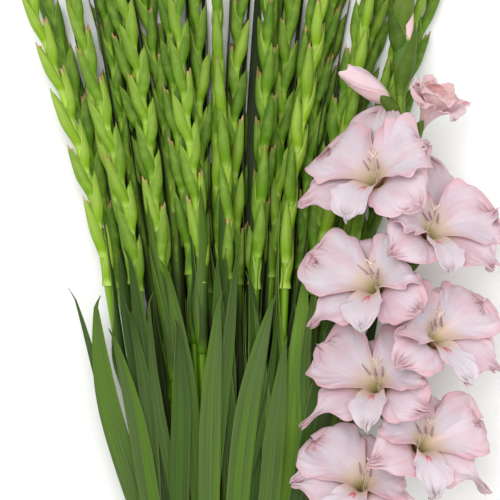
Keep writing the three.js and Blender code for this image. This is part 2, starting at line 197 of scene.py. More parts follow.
class Shader:
    """A material around one Principled shader, with short names for its nodes."""

    def __init__(self, name, roughness, specular, **sockets):
        self.material = bpy.data.materials.new(name)
        self.material.use_nodes = True
        self.tree = self.material.node_tree
        self.bsdf = self.tree.nodes["Principled BSDF"]
        self.bsdf.inputs["Roughness"].default_value = roughness
        self.bsdf.inputs["Specular IOR Level"].default_value = specular
        for key, value in sockets.items():
            self.bsdf.inputs[key.replace("_", " ")].default_value = value

    def put(self, socket, value):
        """Feeds a socket from another node's socket, or sets it to a plain value."""
        if isinstance(value, bpy.types.NodeSocket):
            self.tree.links.new(value, socket)
        else:
            socket.default_value = value

    def value(self, name):
        """One of the values that each point of a piece keeps."""
        node = self.tree.nodes.new("ShaderNodeAttribute")
        node.attribute_name = name
        return node.outputs["Fac"]

    def math(self, operation, a, b=0.0, c=0.0):
        node = self.tree.nodes.new("ShaderNodeMath")
        node.operation = operation
        for socket, x in zip(node.inputs, (a, b, c)):
            self.put(socket, x)
        return node.outputs[0]

    def span(self, x, low, high, start=0.0, end=1.0):
        """x from low to high, read as start to end along an easy curve."""
        node = self.tree.nodes.new("ShaderNodeMapRange")
        node.interpolation_type = "SMOOTHSTEP"
        for socket, value in zip(node.inputs, (x, low, high, start, end)):
            self.put(socket, value)
        return node.outputs[0]

    def mix(self, share, a, b, blend="MIX"):
        node = self.tree.nodes.new("ShaderNodeMix")
        node.data_type = "RGBA"
        node.blend_type = blend
        self.put(node.inputs[0], share)
        for socket, x in ((node.inputs[6], a), (node.inputs[7], b)):
            self.put(socket, linear(x) if isinstance(x, tuple) and len(x) == 3 else x)
        return node.outputs[2]

    def grain(self, across, along, detail=2.0, seed=7.0):
        """Noise stretched along the organ: how many times it changes across it and along it."""
        place = self.tree.nodes.new("ShaderNodeCombineXYZ")
        self.put(place.inputs[0], self.math("MULTIPLY", self.value("across"), across))
        self.put(place.inputs[1], self.math("MULTIPLY", self.value("along"), along))
        self.put(place.inputs[2], self.math("MULTIPLY", self.value("tone"), seed))
        node = self.tree.nodes.new("ShaderNodeTexNoise")
        node.inputs["Scale"].default_value = 1.0
        node.inputs["Detail"].default_value = detail
        self.tree.links.new(place.outputs[0], node.inputs["Vector"])
        return node.outputs[0]

    def spots(self, size, detail=3.0):
        """Even noise over the surface, with spots of about that size in metres."""
        place = self.tree.nodes.new("ShaderNodeTexCoord")
        node = self.tree.nodes.new("ShaderNodeTexNoise")
        node.inputs["Scale"].default_value = 1 / size
        node.inputs["Detail"].default_value = detail
        self.tree.links.new(place.outputs["Object"], node.inputs["Vector"])
        return node.outputs[0]

    def finish(self, colour, height=None, depth=0.0, rough=None):
        """The material with that colour. height is embossed to a depth in metres."""
        self.tree.links.new(colour, self.bsdf.inputs["Base Color"])
        if height is not None:
            bump = self.tree.nodes.new("ShaderNodeBump")
            bump.inputs["Strength"].default_value = 1.0
            bump.inputs["Distance"].default_value = depth
            self.tree.links.new(height, bump.inputs["Height"])
            self.tree.links.new(bump.outputs[0], self.bsdf.inputs["Normal"])
        if rough is not None:
            self.tree.links.new(rough, self.bsdf.inputs["Roughness"])
        return self.material


def bract_material(name, shade):
    """Bract green, brightest low down; shade darkens it for the stem in flower."""
    s = Shader(name, 0.55, 0.16)
    along, across, tone = s.value("along"), s.value("across"), s.value("tone")
    dim = dimmer(shade)
    veins = s.grain(9, 1.5)
    face = s.mix(s.span(tone, 0, 1), dim(74, 108, 26), dim(142, 172, 62))
    low = s.mix(s.span(tone, 0, 1), dim(72, 116, 4), dim(122, 162, 10))
    foot = s.mix(s.span(tone, 0, 1), dim(124, 164, 44), dim(178, 208, 98))
    colour = s.mix(s.span(along, 0.1, 0.55), low, face)
    colour = s.mix(s.span(along, 0.16, 0.0), colour, foot)
    colour = s.mix(s.span(veins, 0.35, 0.7, 0.0, 0.3), colour, dim(74, 114, 16))
    cloud = s.spots(0.012)
    colour = s.mix(s.span(cloud, 0.4, 0.75, 0.0, 0.28), colour, dim(156, 182, 80))
    edge = s.math("ABSOLUTE", across)
    colour = s.mix(s.span(edge, 0.86, 0.97, 0.0, 0.55), colour, dim(176, 194, 100))
    withered = s.mix(s.span(cloud, 0.35, 0.65), (206, 160, 128), (160, 104, 74))
    colour = s.mix(s.value("mark"), colour, withered)
    return s.finish(colour, veins, 0.0004, s.span(cloud, 0.3, 0.7, 0.44, 0.58))


def stalk_material(name, shade):
    """Stalk green, brighter up among the buds; shade darkens it for the stem in flower."""
    s = Shader(name, 0.46, 0.22)
    tone, along = s.value("tone"), s.value("along")
    dim = dimmer(shade)
    stripes = s.grain(8, 3)
    low = s.mix(s.span(tone, 0, 1), dim(74, 114, 4), dim(98, 142, 10))
    high = s.mix(s.span(tone, 0, 1), dim(116, 156, 28), dim(158, 192, 64))
    colour = s.mix(s.span(along, 0.5, 0.7), low, high)
    colour = s.mix(s.span(stripes, 0.5, 0.7, 0.0, 0.4), colour, dim(150, 184, 66))
    colour = s.mix(s.span(stripes, 0.5, 0.3, 0.0, 0.35), colour, dim(58, 96, 8))
    colour = s.mix(s.value("mark"), colour, (206, 214, 160))
    return s.finish(colour, stripes, 0.0003)


def leaf_material(name, shade):
    """Leaf green; shade darkens it, as painted shade for the leaves that lie deep in the bunch."""
    s = Shader(name, 0.5, 0.2)
    tone, across, along = s.value("tone"), s.value("across"), s.value("along")
    dim = dimmer(shade)
    veins = s.grain(22, 1.2, 3.0)
    dull = s.mix(s.span(tone, 0, 0.8), dim(42, 64, 18), dim(76, 100, 42))
    fresh = s.mix(s.span(tone, 0, 0.8), dim(50, 82, 8), dim(82, 116, 22))
    broad = s.grain(1.0, 1.6, 1.0, 23.0)
    colour = s.mix(s.span(broad, 0.4, 0.7), dull, fresh)
    colour = s.mix(s.span(tone, 0.78, 1.0, 0.0, 0.75), colour, dim(102, 142, 28))
    colour = s.mix(s.span(along, 0.16, 0.0, 0.0, 0.9), colour, dim(92, 138, 10))
    colour = s.mix(s.span(veins, 0.5, 0.7, 0.0, 0.35), colour, dim(98, 126, 56))
    colour = s.mix(s.span(veins, 0.5, 0.3, 0.0, 0.45), colour, dim(32, 52, 8))
    edge = s.math("ABSOLUTE", across)
    colour = s.mix(s.span(edge, 0.93, 0.99, 0.0, 0.6), colour, dim(128, 152, 72))
    colour = s.mix(s.span(edge, 0.06, 0.015, 0.0, 0.22), colour, dim(110, 136, 66))
    return s.finish(colour, veins, 0.0005, s.span(broad, 0.3, 0.7, 0.4, 0.54))


def petal_material():
    """Pale pink, rosier at the rim and along the veins, cream and green in the throat. A mark below
    0 turns it paler, and a mark above 0 turns it red."""
    s = Shader("petal_pink", 0.6, 0.16, Subsurface_Weight=0.4, Subsurface_Scale=0.006)
    s.bsdf.inputs["Subsurface Radius"].default_value = (1.0, 0.55, 0.55)
    along, across, tone = s.value("along"), s.value("across"), s.value("tone")
    veins = s.grain(18, 1.2, 2.0)
    clouds = s.grain(1.6, 3.0, 2.0, 31.0)
    pale = s.mix(s.span(tone, 0, 1), (208, 184, 194), (214, 196, 205))
    rosy = s.mix(s.span(tone, 0, 1), (206, 168, 178), (212, 180, 190))
    colour = s.mix(s.span(clouds, 0.4, 0.68), pale, rosy)
    edge = s.math("ABSOLUTE", across)
    rim = s.math("MAXIMUM", s.span(edge, 0.7, 1.0), s.span(along, 0.8, 1.0))
    colour = s.mix(s.math("MULTIPLY", rim, 0.6), colour, (208, 148, 156))
    colour = s.mix(s.span(veins, 0.52, 0.74, 0.0, 0.26), colour, (204, 150, 162))
    colour = s.mix(s.span(veins, 0.48, 0.3, 0.0, 0.22), colour, (220, 206, 213))
    mark = s.value("mark")
    colour = s.mix(s.span(mark, 0.0, -0.6, 0.0, 0.8), colour, (210, 201, 208))
    colour = s.mix(s.span(along, 0.6, 0.42, 0.0, 0.85), colour, (208, 180, 158))
    colour = s.mix(s.span(along, 0.43, 0.27, 0.0, 0.9), colour, (178, 164, 104))
    colour = s.mix(s.span(mark, 0.0, 1.0, 0.0, 0.9), colour, (206, 92, 106))
    return s.finish(colour, veins, 0.0004)


def bud_petal_material():
    """Salmon pink, more so where the mark is high, and green at the foot."""
    s = Shader("bud_pink", 0.55, 0.2, Subsurface_Weight=0.3, Subsurface_Scale=0.005)
    s.bsdf.inputs["Subsurface Radius"].default_value = (1.0, 0.5, 0.5)
    along, across, tone = s.value("along"), s.value("across"), s.value("tone")
    veins = s.grain(14, 1.0, 2.0)
    cloud = s.spots(0.02)
    colour = s.mix(s.span(tone, 0, 1), (226, 196, 203), (218, 180, 182))
    colour = s.mix(s.span(veins, 0.45, 0.7, 0.0, 0.42), colour, (208, 148, 154))
    colour = s.mix(s.span(cloud, 0.4, 0.7, 0.0, 0.25), colour, (214, 176, 158))
    colour = s.mix(s.span(s.value("mark"), 0.0, 1.0, 0.0, 0.8), colour, (222, 148, 138))
    colour = s.mix(s.span(s.math("ABSOLUTE", across), 0.8, 1.0, 0.0, 0.6), colour, (226, 196, 206))
    colour = s.mix(s.span(along, 0.34, 0.0, 0.0, 0.9), colour, (198, 186, 134))
    colour = s.mix(s.span(along, 0.14, 0.02), colour, (78, 108, 38))
    return s.finish(colour, veins, 0.0006)


def plain_material(name, light, dark, roughness, size, specular=0.3):
    """A small organ of one colour, mottled at that size in metres."""
    s = Shader(name, roughness, specular)
    cloud = s.spots(size)
    colour = s.mix(s.span(cloud, 0.35, 0.68), light, dark)
    return s.finish(colour, cloud, 0.0003)


LOOKS = {
    "bract": bract_material("bract_green", 1.0),
    "dark_bract": bract_material("bract_dark_green", 0.74),
    "stalk": stalk_material("stalk_green", 1.0),
    "dark_stalk": stalk_material("stalk_dark_green", 0.76),
    "leaf": leaf_material("leaf_green", 0.95),
    # painted shade: the leaf green darkened for the leaves low in the bunch, which the layers above
    # shadow
    "deep_leaf": leaf_material("leaf_green_painted_shade", 0.62),
    "petal": petal_material(),
    "bud": bud_petal_material(),
    "anther": plain_material("anther_purple", (170, 138, 152), (130, 98, 116), 0.7, 0.0012),
    "style": plain_material("style_white", (236, 222, 214), (214, 196, 176), 0.5, 0.003),
    "rubber": plain_material("rubber_tan", (196, 160, 110), (170, 132, 86), 0.6, 0.004),
}

# ---------------------------------------------------------------- green flower spikes

STALK_SIDES = 12
GREEN_STALK = (4.8 * MM, 4.4 * MM, 3.5 * MM, 1.1 * MM)  # radius at foot, lowest bud, mid spike, tip
FIRST_BUD = 6  # the ring of a green stem's solid that is at its lowest bud
BRACT_THICKNESS = 0.45 * MM
SHEATH_THICKNESS = 0.5 * MM
ABOVE_SURFACE = 0.5 * MM  # the least height of a thin sheet's middle over what the bunch lies on


def stalk(piece, axis, start, end, radius_at, tone, steps=90, look="stalk"):
    """The round stalk along axis from start to end, pale at its cut foot."""
    y = np.linspace(start, end, steps)
    p = axis(y)
    ahead = unit(np.gradient(p, axis=0))
    side = unit(np.cross(ahead, [0, 0, 1.0]))
    up = np.cross(side, ahead)
    turn = np.linspace(0, 2 * math.pi, STALK_SIDES, endpoint=False) - math.pi / 2
    r = radius_at(y)[:, None, None]
    loops = (
        p[:, None]
        + r * np.cos(turn)[None, :, None] * side[:, None]
        + r * np.sin(turn)[None, :, None] * up[:, None]
    )
    share = (y - y[0]) / (y[-1] - y[0])
    foot = smooth(share, 0.004, 0.0)[:, None]
    piece.rod(loops, look, tone, foot, share)


def bract(piece, axis, base, length, azimuth, reach, radius, full, tone, dry, hem=0.0,
          look="bract", bud="bract", showing=0.0):
    """A bract that clasps the stalk at its base, holds a bud, and leans out to a point beside
    the shorter tip of the bud. full is half its width; hem is how far its lowest edge flares;
    showing is how much further than usual its bud comes out."""
    n, m = 21, 17
    v = np.linspace(0, 1, n)[:, None]
    u = np.linspace(-1, 1, m)[None, :]
    out = np.array([math.cos(azimuth), 0, math.sin(azimuth)])
    beside = np.array([-math.sin(azimuth), 0, math.cos(azimuth)])
    p = axis(base + length * v[:, 0])
    span = reach - radius
    clasp = radius + (0.9 * MM + hem if hem else -0.25 * MM)
    snug = radius + 0.9 * MM
    stations = [0, 0.1, 0.38, 0.66, 0.86, 1]
    far = radius + span * np.array([0, 0, 0.84, 1.0, 1.0, 0.9])
    far[:2] = clasp, snug
    keel = glide(v, stations, far)
    deep = glide(v, stations, [clasp, snug, full, full * 0.80, full * 0.46, 0.3 * MM])
    thick = glide(v, stations, [clasp, snug, full * 0.92, full * 0.72, full * 0.36, 0.25 * MM])
    wrap = np.radians(glide(v, [0, 0.25, 0.45, 0.7, 1], [174, 164, 142, 116, 96]))
    angle = wrap * u
    grid = (
        p[:, None]
        + out * (keel - deep * (1 - np.cos(angle)))[..., None]
        + beside * (thick * np.sin(angle))[..., None]
    )
    grid[..., 2] = np.maximum(grid[..., 2], ABOVE_SURFACE)
    piece.sheet(grid, BRACT_THICKNESS, look, tone, dry * smooth(v, 0.88, 0.95))

    inner = np.linspace(0.04, 0.93, 15)
    p = axis(base + length * inner * (1 + showing))
    places = [0.04, 0.38, 0.66, 0.84, 0.93]
    blunt = (1.5 if dry > 0 else 0.25) * MM
    half = glide(inner, places, [radius * 0.8, full - 0.9 * MM, full * 0.72, full * 0.34, blunt])
    far = glide(inner, places, radius + span * np.array([0, 0.58, 0.74, 0.7, 0.66]))
    turn = np.linspace(0, 2 * math.pi, 12, endpoint=False)
    loops = (
        p[:, None]
        + out * ((far - half)[:, None] + half[:, None] * np.cos(turn))[..., None]
        + beside * (half[:, None] * 0.88 * np.sin(turn))[..., None]
    )
    loops[..., 2] = np.maximum(loops[..., 2], 0.6 * MM)
    tips = dry * smooth(inner, 0.84, 0.89)[:, None]
    ripe = 0.9 * smooth(inner, 0.55, 0.8) if bud == "bud" else 0.45 + 0.5 * inner
    piece.rod(loops, bud, min(tone + 0.3, 1.0), tips, ripe)


def stem_leaf(piece, axis, base, length, azimuth, radius, wide, lean, tone, look="leaf"):
    """A narrow leaf that sheathes the stalk, then leaves it with a pointed tip. wide is its width
    and lean is how far out from the stalk the tip lies."""
    n, m = 30, 9
    v = np.linspace(0, 1, n)[:, None]
    u = np.linspace(-1, 1, m)[None, :]
    p = axis(base + length * v[:, 0])
    out = np.array([math.cos(azimuth), 0, math.sin(azimuth)])
    beside = np.cross([0, 1.0, 0], out)
    leave = [0.6 * MM, 1.2 * MM, 1.5 * MM + 0.45 * lean, lean]
    keel = glide(v, [0, 0.3, 0.7, 1], [radius + x for x in leave])
    widths = [radius + 0.8 * MM, wide * 0.62, wide * 0.5, wide * 0.26, 0.2 * MM]
    half = glide(v, [0, 0.25, 0.5, 0.85, 1], widths)
    wrap = np.radians(glide(v, [0, 0.2, 0.45, 1], [150, 110, 46, 16]))
    angle = wrap * u
    curve = half / np.maximum(np.sin(np.minimum(wrap, math.pi / 2)), 0.2)
    grid = (
        p[:, None]
        + out * (keel - curve * (1 - np.cos(angle)))[..., None]
        + beside * (curve * np.sin(angle))[..., None]
    )
    grid[..., 2] = np.maximum(grid[..., 2], ABOVE_SURFACE)
    piece.sheet(grid, SHEATH_THICKNESS, look, tone)


def stem_axis(ring_list, sway=0.0, phase=0.0):
    """The line along a stem's middle, from its rings, and how far each ring reaches to either
    side. sway bends the line gently from side to side, between the foot and the tip."""
    y = np.array([r[:, 1].mean() for r in ring_list])
    z = np.array([(r[:, 2].min() + r[:, 2].max()) / 2 for r in ring_list])
    low, high, x = [], [], []
    for r in ring_list:
        xs = np.sort(r[:, 0])
        inner = xs[xs > xs[0] + 2e-5]
        middle = 2 * inner[0] - xs[0] if len(inner) else xs[0]
        x.append(middle)
        low.append(middle - xs[0])
        high.append(xs[-1] - middle)

    def axis(at):
        at = np.asarray(at, float)
        bend = sway * smooth(at, -0.1, 0.1) * np.sin(15 * at + phase)
        return np.stack([glide(at, y, x) + bend, at, glide(at, y, z)], -1)

    return axis, y, np.array(low), np.array(high)


def green_stem(name, rng):
    """A green spike: its stalk, alternate bracts with their buds, and the leaves that sheathe it."""
    layer, place = (int(x) for x in name.split("_")[2:])
    piece = Piece()
    axis, y, low, high = stem_axis(rings(name), rng.uniform(1, 4) * MM, rng.uniform(0, 6))
    first, tip = FIRST_BUD, len(y) - 1
    # the spikes of the two lowest layers get a darker tone: painted shade, as the layers above shadow
    # them
    tone = rng.uniform(0.1, 0.95) * (0.45 if layer <= 2 else 1.0)
    spike = y[first]

    def radius_at(at):
        stations = [y[0], spike, (spike + y[tip]) / 2, y[tip]]
        return np.interp(at, stations, GREEN_STALK)

    stalk(piece, axis, y[0], y[tip] - 6 * MM, radius_at, tone)
    plane = math.radians(rng.normal(0, 12))
    if layer >= 3 and rng.random() < 0.42:
        plane = math.radians(rng.choice([-1, 1]) * rng.uniform(58, 88))
    for k in range(first, tip):
        side = 0.0 if high[k] > low[k] else math.pi
        reach = max(high[k], low[k])
        share = (k - first) / (tip - 1 - first)
        length = glide(share, [0, 0.3, 0.7, 1], [59, 59, 48, 28]) * MM * rng.uniform(0.92, 1.1)
        full = glide(share, [0, 0.3, 0.7, 1], [6.6, 6.5, 5.6, 3.1]) * MM * rng.uniform(0.92, 1.06)
        azimuth = side + plane + math.radians(rng.normal(0, 11))
        tint = float(np.clip(tone + rng.normal(0, 0.16), 0, 1))
        dry = float(rng.random() < 0.36) * rng.uniform(0.6, 1.0)
        bract(
            piece, axis, y[k] - 0.5 * length, length, azimuth, reach * rng.uniform(0.8, 0.98),
            float(radius_at(y[k])), full, tint, dry, hem=1.2 * MM if k == first else 0.0,
        )
    for _ in range(2 if layer >= 3 else 1):
        base = spike - rng.uniform(0.08, 0.24)
        outwards = math.radians(rng.uniform(-30, 50))
        azimuth = outwards if rng.random() < 0.5 else math.pi - outwards
        stem_leaf(piece, axis, base, rng.uniform(0.12, 0.2), azimuth, float(radius_at(base)),
                  rng.uniform(11, 16) * MM, rng.uniform(2, 8) * MM, rng.uniform(0, 1))
    # long leaves for the two lowest layers, in the leaf green darkened as painted shade
    if layer <= 2 and 1 < place < 8:
        for way in (0, math.pi):
            base = spike - rng.uniform(0.27, 0.33)
            azimuth = way + math.radians(rng.uniform(-25, 25))
            stem_leaf(piece, axis, base, rng.uniform(0.57, 0.63), azimuth, float(radius_at(base)),
                      rng.uniform(17, 22) * MM, rng.uniform(4, 9) * MM, rng.uniform(0, 1), "deep_leaf")
    return piece.finish("spike_" + name[len("green_stem_"):], "green_stem", LOOKS, [name])


# ---------------------------------------------------------------- leaves

LEAF_STEPS = 52

def blade(piece, middle, right, wide, tone, rng, lop, hook, twist, look="leaf"):
    """A sword leaf along its middle line. right points to its right edge, and wide is half its
    width. lop is how far its point lies towards one edge, and hook bends the very tip aside."""
    n, m = len(middle), 13
    v = np.linspace(0, 1, n)
    u = np.linspace(-1, 1, m)[None, :, None]
    stations = [0, 0.12, 0.45, 0.7, 0.86, 0.95, 1]
    half = glide(v, stations, [0.14, 0.64, 1.0, 0.88, 0.52, 0.22, 0.012]) * wide
    ahead = unit(np.gradient(middle, axis=0))
    up = unit(np.cross(right, ahead))
    angle = (twist * smooth(v, 0.35, 1.0))[:, None]
    right = right * np.cos(angle) + up * np.sin(angle)
    up = unit(np.cross(right, ahead))
    lean = lop * (wide - half) * smooth(v, 0.45, 0.75) + hook * smooth(v, 0.965, 1.0)
    sunk = middle - up * (3.5 * MM * smooth(v, 0.14, 0.0))[:, None]
    grid = sunk[:, None] + right[:, None] * (half[:, None, None] * u + lean[:, None, None])
    wave = 0.9 * MM * np.sin(7 * v + rng.uniform(0, 6)) * smooth(v, 0.2, 0.8)
    ribs = 0.25 * MM * np.cos(3 * math.pi * u) * (1 - smooth(v, 0.7, 1.0))[:, None, None]
    fold = 0.14 * half[:, None, None] * np.abs(u) ** 1.5
    grid = grid + up[:, None] * (wave[:, None, None] * u + fold + ribs)
    grid[..., 2] = np.maximum(grid[..., 2], 0.8 * MM)
    body = (1 - np.abs(u[..., 0]) ** 1.5) * ((1 - smooth(v, 0.6, 1.0)) * smooth(v, -0.05, 0.1))[:, None]
    piece.sheet(grid, (0.35 + 0.9 * body) * MM, look, tone)


def leaf_lines(name):
    """A leaf's left and right edges, ring by ring."""
    ring_list = rings(name)
    left = np.array([r[np.argmin(r[:, 0])] for r in ring_list])
    right = np.array([r[np.argmax(r[:, 0])] for r in ring_list])
    return left, right


def leaf(name, rng):
    """A sword leaf, and the narrow young leaf that grows out of its fold."""
    left, right = leaf_lines(name)
    y = left[:, 1]
    centre, side = (left + right) / 2, unit(right - left)
    wide = np.linalg.norm(right - left, axis=1).max() / 2
    over = int(name.split("_")[1]) == 2  # a leaf of the upper level
    piece = Piece()
    for young in (False, True):
        share = rng.uniform(0.74, 0.95) if young != over else rng.uniform(0.84, 1.02)
        at = np.linspace(y[0], y[0] + (y[-1] - y[0]) * share, LEAF_STEPS)
        t = np.linspace(0, 1, LEAF_STEPS)
        middle = np.stack([glide(at, y, centre[:, i]) for i in range(3)], 1)
        middle[:, 1] = at
        across = unit(np.stack([glide(at, y, side[:, i]) for i in range(3)], 1))
        size = wide * rng.uniform(0.7, 0.96)
        middle[:, 0] += rng.normal(0, 5) * MM * np.sin(4 * t + rng.uniform(0, 6))
        lean = -8 if name.endswith("_1") else rng.normal(0, 9)
        middle[:, 0] += lean * MM * t**2.5
        if young:
            size = wide * rng.uniform(0.4, 0.62)
            middle[:, 2] -= 3.2 * MM
            shift = rng.choice([-1, 1]) * rng.uniform(0.75, 1.2) * wide
            middle[:, 0] += shift * smooth(t, 0.1, 0.8)
        lop = rng.choice([-1, 1]) * rng.uniform(0.45, 1.0)
        hook = lop * rng.uniform(0, 8) * MM
        blade(piece, middle, across, size, rng.uniform(0, 1), rng, lop, hook, rng.uniform(-0.3, 0.3))
    return piece.finish(name.replace("leaf_", "sword_leaf_"), "leaf", LOOKS, [name])


# ---------------------------------------------------------------- the open florets


def floret_frame(name):
    """A floret's foot, the way it faces, the way its top lobe points, and its radius."""
    co = corners(name)
    middle = co.mean(0)
    far = co[np.argsort(np.linalg.norm(co - middle, axis=1))[-6:]]
    centre = far.mean(0)
    facing = unit(centre - middle)
    radius = float(np.linalg.norm(far - centre, axis=1).mean())
    foot = centre - 0.9 * radius * facing
    lobe = far[np.argmax(far[:, 1])] - centre
    lobe = unit(lobe - facing * np.dot(lobe, facing))
    return foot, facing, lobe, radius


def tepal(piece, flower, turn, long, wide, front, rng, ruffle=1.0, channel=0.0, pinch=0.0, curl=0.0,
          mark=False, white=0.0, opening=1.0, look="petal", finger=0.0, tall=1.0, deep=0.0):
    """One of a floret's six tepals. turn is its place round the tube, and front is 1 in the front
    whorl. channel folds it along its middle, pinch narrows its tip, curl rolls its tip back and
    finger draws the tip out long and thin. tall stretches it along the tube, and deep is how
    strongly a bud's tepal is coloured."""
    foot, facing, lobe, size = flower
    n, m = 74, 53
    v = np.linspace(0, 1, n)[:, None]
    u = np.linspace(-1, 1, m)[None, :]
    ray = turned(lobe, facing, turn)
    side = np.cross(facing, ray)
    reach = 1 + (long - 1) * smooth(v, 0.35, 1.0) + 0.22 * finger * smooth(v, 0.8, 1.0)
    stations = [0, 0.18, 0.34, 0.5, 0.66, 0.84, 1]
    rho = glide(v, stations, [0.05, 0.085, 0.15, 0.31, 0.54, 0.80, 1.0]) * reach
    high = glide(v, stations, [0.02, 0.28, 0.51, 0.70, 0.81, 0.87, 0.86])
    high = high + (front - 0.5) * 0.06 * smooth(v, 0.12, 0.4) - (1 - front) * 0.05 * smooth(v, 0.7, 1.0)
    high = high + rng.normal(0, 0.03) * smooth(v, 0.5, 1.0) - curl * smooth(v, 0.72, 1.0) ** 2
    rho = rho - front * 0.035 * smooth(v, 0.06, 0.3) - 0.6 * curl * smooth(v, 0.8, 1.0) ** 2
    rho = rho * (opening + (1 - opening) * glide(v, [0, 0.3, 1], [1, 1, 0.22]))
    high = high + (1 - opening) * 0.34 * smooth(v, 0.45, 1.0)
    round_tip = 0.36 - 0.24 * pinch
    half = glide(v, [0, 0.18, 0.34, 0.5, 0.64, 0.8, 0.92, 0.975, 1],
                 [0.05, 0.08, 0.15, 0.31, 0.46, 0.49 - 0.1 * pinch, round_tip, round_tip * 0.5, 0.012])
    half = half * (1 - 0.72 * finger * smooth(v, 0.72, 0.9)) + 0.03 * finger * smooth(v, 0.9, 0.98)
    half[-1] = 0.012
    half = half * (1 + (wide - 1) * smooth(v, 0.3, 0.6))
    cup = 0.3 + 0.25 * front + 2.4 * channel + 9 * finger * smooth(v, 0.75, 0.9)
    opened = smooth(v, 0.4, 0.72) * opening
    bend = (1 - opened) / np.maximum(rho, 0.06) + opened * cup
    angle = bend * half * u
    sideways, raised = np.sin(angle) / bend, (1 - np.cos(angle)) / bend
    slope_r, slope_h = np.gradient(rho, axis=0), np.gradient(high, axis=0)
    slope = np.sqrt(slope_r**2 + slope_h**2)
    normal_r, normal_h = -slope_h / slope, slope_r / slope
    phase = rng.uniform(0, 2 * math.pi, 8)
    rim = np.maximum(np.abs(u), smooth(v, 0.66, 1.0)) * smooth(v, 0.4, 0.66)
    round_rim = np.arctan2(u * 0.62, v - 0.42)
    folds = np.sin(5.0 * round_rim + phase[0]) + 0.7 * np.sin(8.7 * round_rim + phase[1])
    flutes = np.sin(27 * round_rim + phase[2] + 1.8 * np.sin(5 * round_rim + phase[3]))
    flutes = flutes * (0.65 + 0.35 * np.sin(3.1 * round_rim + phase[7]))
    pleats = 0.006 * np.sin(10 * u + phase[4]) + 0.012 * np.sin(3.4 * u + 4 * v + phase[5])
    lift = ruffle * (0.05 * folds * rim**2.2 + 0.042 * flutes * rim**3) + pleats * smooth(v, 0.55, 0.85)
    lift = lift + raised - 0.05 * (1 - front) * np.abs(u) ** 3 * opened
    notches = np.sin(21 * round_rim + phase[6]) + 0.6 * np.sin(34 * round_rim + phase[4])
    scallop = 1 + ruffle * 0.038 * rim**3 * notches
    swing = rng.normal(0, 0.06) * smooth(v, 0.4, 1.0) ** 2
    grid = (
        foot
        + size * (rho * (1 + (scallop - 1) * smooth(v, 0.7, 1.0)) + normal_r * lift)[..., None] * ray
        + size * (tall * high + normal_h * lift)[..., None] * facing
        + size * (sideways * scallop + swing)[..., None] * side
    )
    grid[..., 2] = np.maximum(grid[..., 2], 1 * MM)
    red = -white * smooth(v, 0.45, 0.6) + deep * smooth(v, 0.4, 0.8)
    if mark:
        streak = np.exp(-(((np.abs(u) - 0.9 * (v - 0.4)) / 0.10) ** 2))
        red = red + (0.9 + white) * smooth(v, 0.42, 0.47) * smooth(v, 0.64, 0.5) * streak
    thick = (0.75 - 0.4 * smooth(v, 0.3, 1.0)) * MM
    piece.sheet(grid, thick, look, rng.uniform(0, 1), red)


def thread(piece, points, radii, look, tone=0.5, sides=8, steps=16):
    """A round thread that follows a smooth line through the points."""
    points = np.asarray(points, float)
    knots = np.linspace(0, 1, len(points))
    t = np.linspace(0, 1, steps)
    p = np.stack([glide(t, knots, points[:, i]) for i in range(3)], 1)
    r = np.interp(t, np.linspace(0, 1, len(radii)), radii)
    ahead = unit(np.gradient(p, axis=0))
    any_side = unit(np.cross(ahead, [0.31, 0.21, 0.93]))
    other = np.cross(ahead, any_side)
    turn = np.linspace(0, 2 * math.pi, sides, endpoint=False)
    loops = p[:, None] + r[:, None, None] * (
        np.cos(turn)[None, :, None] * any_side[:, None] + np.sin(turn)[None, :, None] * other[:, None]
    )
    piece.rod(loops, look, tone)


# radii along the threads of a floret
FILAMENT = [0.45 * MM, 0.4 * MM]
ANTHER = [0.4 * MM, 1.1 * MM, 1.0 * MM, 0.4 * MM]
STYLE_BRANCH = [0.4 * MM, 0.6 * MM, 0.7 * MM]

# turn, length, width, front whorl, channel, pinch, curl of each tepal
TEPALS = (
    (0, 1.12, 1.16, 0, 0.0, 0.2, 0.24),
    (62, 1.12, 1.26, 1, 0.0, 0.0, 0.05),
    (120, 1.14, 1.04, 0, 0.0, 0.8, 0.08),
    (180, 1.02, 0.72, 1, 0.5, 0.6, 0.02),
    (240, 1.14, 1.04, 0, 0.0, 0.8, 0.08),
    (298, 1.12, 1.26, 1, 0.0, 0.0, 0.05),
)


